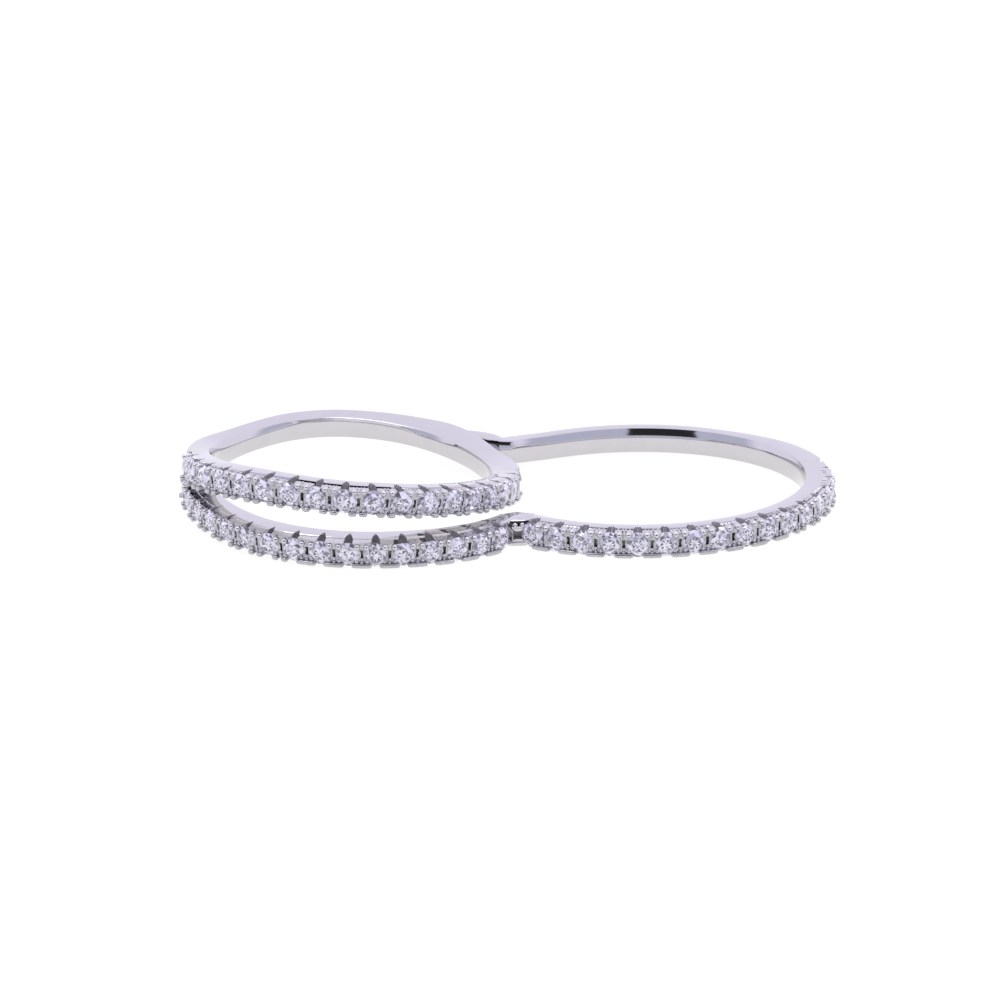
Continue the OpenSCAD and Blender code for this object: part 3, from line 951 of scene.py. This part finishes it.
def build_world():
    world = bpy.data.worlds.new("studio")
    bpy.context.scene.world = world
    world.use_nodes = True
    nt = world.node_tree
    bg = nt.nodes["Background"]
    tc = nt.nodes.new("ShaderNodeTexCoord")
    nrm = nt.nodes.new("ShaderNodeVectorMath"); nrm.operation = "NORMALIZE"
    nt.links.new(tc.outputs["Generated"], nrm.inputs[0])
    sep = nt.nodes.new("ShaderNodeSeparateXYZ")
    nt.links.new(nrm.outputs["Vector"], sep.inputs["Vector"])

    def math_node(op, a, b=None, clamp=False):
        n = nt.nodes.new("ShaderNodeMath"); n.operation = op; n.use_clamp = clamp
        for i, x in enumerate((a, b)):
            if x is None:
                continue
            if isinstance(x, (int, float)):
                n.inputs[i].default_value = x
            else:
                nt.links.new(x, n.inputs[i])
        return n.outputs[0]

    def step(x, lo, hi):
        n = nt.nodes.new("ShaderNodeMapRange"); n.interpolation_type = "SMOOTHSTEP"
        n.inputs["From Min"].default_value, n.inputs["From Max"].default_value = lo, hi
        nt.links.new(x, n.inputs["Value"])
        return n.outputs["Result"]

    def mix(fac, a, b):
        n = nt.nodes.new("ShaderNodeMix"); n.data_type = "RGBA"
        nt.links.new(fac, n.inputs["Factor"])
        for key, x in (("A", a), ("B", b)):
            if isinstance(x, tuple):
                n.inputs[key].default_value = (*x, 1)
            else:
                nt.links.new(x, n.inputs[key])
        return n.outputs["Result"]

    x, y, z = sep.outputs["X"], sep.outputs["Y"], sep.outputs["Z"]
    front = math_node("MULTIPLY", y, -1.0)
    azim = math_node("MULTIPLY", math_node("ARCTAN2", x, front), 180 / math.pi)     # 0 towards the front, + to the right
    elev = math_node("MULTIPLY", math_node("ARCSINE", z), 180 / math.pi)
    sky = mix(step(elev, 0, 6), (1.02, 1.015, 1.08), (1.03, 1.012, 1.17))
    # a wall in blue-grey shade behind the camera
    wall = math_node("MULTIPLY", step(front, 0.05, 0.30), step(elev, 1.5, 3.5))
    wall = math_node("MULTIPLY", wall, math_node("SUBTRACT", 1.0, step(elev, 54, 64)))
    sky = mix(wall, sky, (0.65, 0.667, 0.83))
    # a black flag to the left of the camera
    side = math_node("MULTIPLY", step(azim, -39, -37), math_node("SUBTRACT", 1.0, step(azim, 4, 6)))
    high = math_node("MULTIPLY", step(elev, 7.5, 9.5), math_node("SUBTRACT", 1.0, step(elev, 43, 46)))
    flag = math_node("MULTIPLY", side, high)
    sky = mix(flag, sky, (0.03, 0.03, 0.032))
    nt.links.new(sky, bg.inputs["Color"])
    bg.inputs["Strength"].default_value = 1.0


def soft_light(name, azimuth, elevation, dist, size, power, colour=(1, 1, 1)):
    """A square soft light aimed at the ring. Azimuth 0 is the front, positive to the right."""
    d = bpy.data.lights.new(name, "AREA")
    d.shape, d.size, d.energy, d.color = "SQUARE", size, power, colour
    o = bpy.data.objects.new(name, d)
    a, e = math.radians(azimuth), math.radians(elevation)
    way = Vector((math.sin(a) * math.cos(e), -math.cos(a) * math.cos(e), math.sin(e)))
    o.location = way * dist
    o.rotation_euler = way.to_track_quat("Z", "Y").to_euler()
    bpy.context.scene.collection.objects.link(o)
    return o


def build_stage():
    n, radius = 96, 3.0
    verts = [(0, 0, 0)] + [(radius / MM * math.cos(2 * math.pi * k / n), radius / MM * math.sin(2 * math.pi * k / n), 0) for k in range(n)]
    faces = [(0, 1 + k, 1 + (k + 1) % n) for k in range(n)]
    floor = new_object("floor", verts, faces, [floor_material()], smooth=False)
    floor.location.z = -0.00002
    build_world()
    soft_light("key_soft", -55, 58, 0.6, 0.16, 0.35)
    soft_light("fill_soft", 60, 50, 0.6, 0.12, 0.22)
    soft_light("top_soft", 170, 72, 0.6, 0.20, 0.30)
    # the photograph's camera: 19.5 degrees above the table, turned 5 degrees to the left, through a long lens
    cam = bpy.data.cameras.new("camera")
    cam.sensor_width, cam.lens = 36.0, 800.0
    cam.clip_start, cam.clip_end = 0.05, 20.0
    ob = bpy.data.objects.new("camera", cam)
    a, e = math.radians(5.0), math.radians(19.5)
    right = Vector((math.cos(a), -math.sin(a), 0))
    back = Vector((-math.sin(a) * math.cos(e), -math.cos(a) * math.cos(e), math.sin(e)))
    up = Vector((math.sin(a) * math.sin(e), math.cos(a) * math.sin(e), math.cos(e)))
    px = 16.42                                            # picture points in a millimetre
    dist = 1000 / px * MM * cam.lens / cam.sensor_width
    # the point of the object that falls on the picture's centre
    centre = right * (-7.75 / px * MM) + up * (4.0 / px * MM) + Vector((0, SHIFT_Y * MM, 0))
    ob.location = centre + back * dist
    ob.rotation_mode = "QUATERNION"
    ob.rotation_quaternion = Matrix((right, up, back)).transposed().to_quaternion()
    bpy.context.scene.collection.objects.link(ob)
    bpy.context.scene.camera = ob
    vs = bpy.context.scene.view_settings
    vs.view_transform, vs.look, vs.exposure, vs.gamma = "Standard", "None", 0.0, 1.0


# ---------------------------------------------------------------------------
# Putting it together
# ---------------------------------------------------------------------------
build_stage()
METAL, RECESS, GROOVE_SHADE, SHADED, FOOT_SHADE, SLOT, STONE = rhodium(), recess(), groove(), shaded(), foot_shade_metal(), slot_shade(), stone()
INNER_LIGHT = inner_gap_painted_light()

band_ob = build_band([METAL, RECESS, GROOVE_SHADE, INNER_LIGHT])
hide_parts("ring_band")
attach(band_ob, "root")
for row in ROWS.values():
    gems = build_stones(row, STONE)
    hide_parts("stones_" + row.name)
    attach(gems, "root")
    setting = build_setting(row, [METAL, RECESS, GROOVE_SHADE, SHADED, FOOT_SHADE, SLOT])
    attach(setting, "root")
